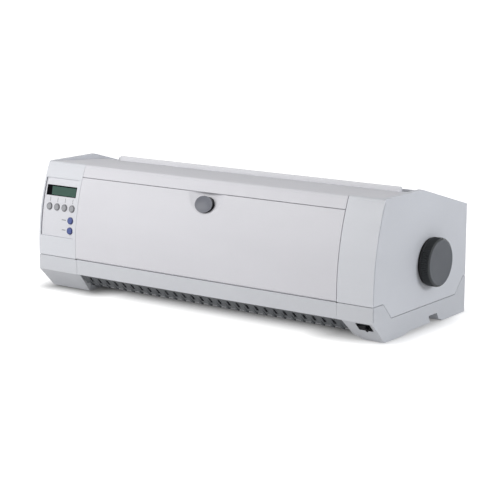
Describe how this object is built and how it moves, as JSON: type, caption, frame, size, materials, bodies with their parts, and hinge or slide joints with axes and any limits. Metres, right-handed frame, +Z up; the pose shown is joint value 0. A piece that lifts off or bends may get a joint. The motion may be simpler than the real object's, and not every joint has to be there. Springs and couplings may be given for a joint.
{
  "type": "dot matrix printer",
  "caption": "Wide-carriage dot matrix printer with a curved drop-down front door, hinged top and rear covers, side platen knob and corner operator panel.",
  "frame": {"origin": "on the table, under the middle of the bounding box, knob included", "axes": "+X to the printer's right along the platen, +Y to its back, +Z up"},
  "size_m": [0.649, 0.263, 0.206],
  "materials": {
    "shell_plastic": "satin",
    "cover_plastic": "satin",
    "grille_plastic": "matte",
    "black_plastic": "satin",
    "dark_plastic": "matte",
    "grey_plastic": "satin",
    "blue_plastic": "gloss",
    "white_plastic": "satin",
    "red_plastic": "satin",
    "rubber": "matte",
    "steel": "brushed",
    "brass": "satin",
    "motor": "satin",
    "board": "satin",
    "display": "satin",
    "window": "gloss"
  },
  "bodies": {
    "housing": {"base_housing": "shell_plastic", "front_sill": "shell_plastic", "intake_grille": "grille_plastic", "rubber_feet": "rubber", "upper_housing": "shell_plastic", "tear_bar": "cover_plastic", "hinge_pins": "steel", "operator_panel": "cover_plastic", "lcd_window": "window", "lcd_module": "display", "panel_board": "board", "power_switch": "black_plastic", "platen_bushes": "brass", "line_feed_motor": "motor", "support_shaft": "steel", "carriage_shaft": "steel", "guide_rail": "steel", "carriage_belt": "rubber", "carriage_motor": "motor", "idler_post": "steel", "side_frame_left": "steel", "side_frame_right": "steel", "front_crossbar": "steel", "paper_guide": "steel", "main_board": "board", "power_supply": "steel", "rear_connectors": "black_plastic", "chassis_screws": "steel"},
    "door": {"front_door": "cover_plastic"},
    "latch": {"latch_button": "grey_plastic"},
    "lid": {"top_cover": "cover_plastic"},
    "rear_lid": {"rear_cover": "shell_plastic"},
    "key_1": {"key_1": "grey_plastic"},
    "key_2": {"key_2": "grey_plastic"},
    "key_3": {"key_3": "grey_plastic"},
    "key_4": {"key_4": "grey_plastic"},
    "key_blue_upper": {"key_blue_upper": "blue_plastic"},
    "key_blue_lower": {"key_blue_lower": "blue_plastic"},
    "rocker": {"power_rocker": "black_plastic"},
    "platen": {"platen_shaft": "steel", "platen_roller": "rubber", "platen_gear": "white_plastic", "platen_knob": "grey_plastic"},
    "idler": {"idler_gear": "white_plastic"},
    "pinion": {"motor_pinion": "brass"},
    "tractor_drive": {"tractor_shaft": "steel", "tractor_gear": "white_plastic"},
    "tractor_left_body": {"tractor_left": "dark_plastic"},
    "tractor_right_body": {"tractor_right": "dark_plastic"},
    "wheel_left": {"pin_wheel_left": "white_plastic"},
    "wheel_right": {"pin_wheel_right": "white_plastic"},
    "lid_left": {"tractor_lid_left": "dark_plastic"},
    "lid_right": {"tractor_lid_right": "dark_plastic"},
    "carriage_body": {"carriage": "dark_plastic", "print_head": "dark_plastic", "ribbon_cassette": "black_plastic"},
    "ribbon_knob_body": {"ribbon_knob": "red_plastic"},
    "motor_pulley_body": {"motor_pulley": "steel"},
    "idler_pulley_body": {"idler_pulley": "steel"},
    "bail": {"paper_bail": "steel"}
  },
  "joints": [
    {"name": "door_hinge", "type": "hinge", "parent": "housing", "child": "door", "pos_m": [-0.0005, -0.1283, 0.0612], "axis": [1, 0, 0], "range_deg": [0, 85]},
    {"name": "latch_push", "type": "slide", "parent": "door", "child": "latch", "axis": [0, 0.9549, -0.297], "range_m": [0, 0.0025], "stiffness_N_per_m": 400},
    {"name": "top_cover_hinge", "type": "hinge", "parent": "housing", "child": "lid", "pos_m": [-0.0095, 0.0095, 0.193], "axis": [-1, 0, 0], "range_deg": [0, 75]},
    {"name": "rear_cover_hinge", "type": "hinge", "parent": "housing", "child": "rear_lid", "pos_m": [-0.0095, 0.1233, 0.16186], "axis": [-1, 0, 0], "range_deg": [0, 85]},
    {"name": "key_1_press", "type": "slide", "parent": "housing", "child": "key_1", "axis": [0, 0.9807, -0.1955], "range_m": [0, 0.001], "stiffness_N_per_m": 500},
    {"name": "key_2_press", "type": "slide", "parent": "housing", "child": "key_2", "axis": [0, 0.9807, -0.1955], "range_m": [0, 0.001], "stiffness_N_per_m": 500},
    {"name": "key_3_press", "type": "slide", "parent": "housing", "child": "key_3", "axis": [0, 0.9807, -0.1955], "range_m": [0, 0.001], "stiffness_N_per_m": 500},
    {"name": "key_4_press", "type": "slide", "parent": "housing", "child": "key_4", "axis": [0, 0.9807, -0.1955], "range_m": [0, 0.001], "stiffness_N_per_m": 500},
    {"name": "key_blue_upper_press", "type": "slide", "parent": "housing", "child": "key_blue_upper", "axis": [0, 0.9807, -0.1955], "range_m": [0, 0.001], "stiffness_N_per_m": 500},
    {"name": "key_blue_lower_press", "type": "slide", "parent": "housing", "child": "key_blue_lower", "axis": [0, 0.9807, -0.1955], "range_m": [0, 0.001], "stiffness_N_per_m": 500},
    {"name": "rocker_tip", "type": "hinge", "parent": "housing", "child": "rocker", "pos_m": [0.28825, -0.12263, 0.02937], "axis": [0, -0.7071, 0.7071], "range_deg": [-16, 0]},
    {"name": "platen_spin", "type": "hinge", "parent": "housing", "child": "platen", "pos_m": [-0.0095, 0.0235, 0.098], "axis": [1, 0, 0], "continuous": true},
    {"name": "idler_spin", "type": "hinge", "parent": "housing", "child": "idler", "pos_m": [0.2305, 0.07338, 0.0945], "axis": [1, 0, 0], "continuous": true},
    {"name": "pinion_spin", "type": "hinge", "parent": "housing", "child": "pinion", "pos_m": [0.2305, -0.00302, 0.07148], "axis": [1, 0, 0], "continuous": true},
    {"name": "tractor_drive_spin", "type": "hinge", "parent": "housing", "child": "tractor_drive", "pos_m": [-0.0095, 0.0835, 0.128], "axis": [1, 0, 0], "continuous": true},
    {"name": "tractor_left_slide", "type": "slide", "parent": "housing", "child": "tractor_left_body", "axis": [1, 0, 0], "range_m": [-0.05, 0.03]},
    {"name": "pin_wheel_left_spin", "type": "hinge", "parent": "tractor_left_body", "child": "wheel_left", "pos_m": [-0.1595, 0.0835, 0.128], "axis": [1, 0, 0], "continuous": true},
    {"name": "tractor_lid_left_hinge", "type": "hinge", "parent": "tractor_left_body", "child": "lid_left", "pos_m": [-0.1695, 0.0835, 0.142], "axis": [0, -1, 0], "range_deg": [0, 100]},
    {"name": "tractor_right_slide", "type": "slide", "parent": "housing", "child": "tractor_right_body", "axis": [1, 0, 0], "range_m": [-0.03, 0.05]},
    {"name": "pin_wheel_right_spin", "type": "hinge", "parent": "tractor_right_body", "child": "wheel_right", "pos_m": [0.1405, 0.0835, 0.128], "axis": [1, 0, 0], "continuous": true},
    {"name": "tractor_lid_right_hinge", "type": "hinge", "parent": "tractor_right_body", "child": "lid_right", "pos_m": [0.1505, 0.0835, 0.142], "axis": [0, 1, 0], "range_deg": [0, 100]},
    {"name": "carriage_slide", "type": "slide", "parent": "housing", "child": "carriage_body", "axis": [1, 0, 0], "range_m": [-0.172, 0.172]},
    {"name": "ribbon_knob_turn", "type": "hinge", "parent": "carriage_body", "child": "ribbon_knob_body", "pos_m": [0.0185, -0.0435, 0.1213], "axis": [0, 0, 1], "continuous": true},
    {"name": "motor_pulley_spin", "type": "hinge", "parent": "housing", "child": "motor_pulley_body", "pos_m": [-0.2215, -0.0275, 0.045], "axis": [0, 0, 1], "range_deg": [-1240, 1240]},
    {"name": "idler_pulley_spin", "type": "hinge", "parent": "housing", "child": "idler_pulley_body", "pos_m": [0.2025, -0.0275, 0.045], "axis": [0, 0, 1], "range_deg": [-1240, 1240]},
    {"name": "bail_lift", "type": "hinge", "parent": "housing", "child": "bail", "pos_m": [-0.0095, 0.0495, 0.116], "axis": [-1, 0, 0], "range_deg": [0, 30]}
  ],
  "couplings": [
    {"joint": "idler_spin", "follows": "platen_spin", "ratio": -1.5},
    {"joint": "pinion_spin", "follows": "platen_spin", "ratio": -4},
    {"joint": "tractor_drive_spin", "follows": "platen_spin", "ratio": 2},
    {"joint": "pin_wheel_left_spin", "follows": "platen_spin", "ratio": 2},
    {"joint": "pin_wheel_right_spin", "follows": "platen_spin", "ratio": 2},
    {"joint": "motor_pulley_spin", "follows": "carriage_slide", "rad_per_m": 125},
    {"joint": "idler_pulley_spin", "follows": "carriage_slide", "rad_per_m": 125}
  ]
}
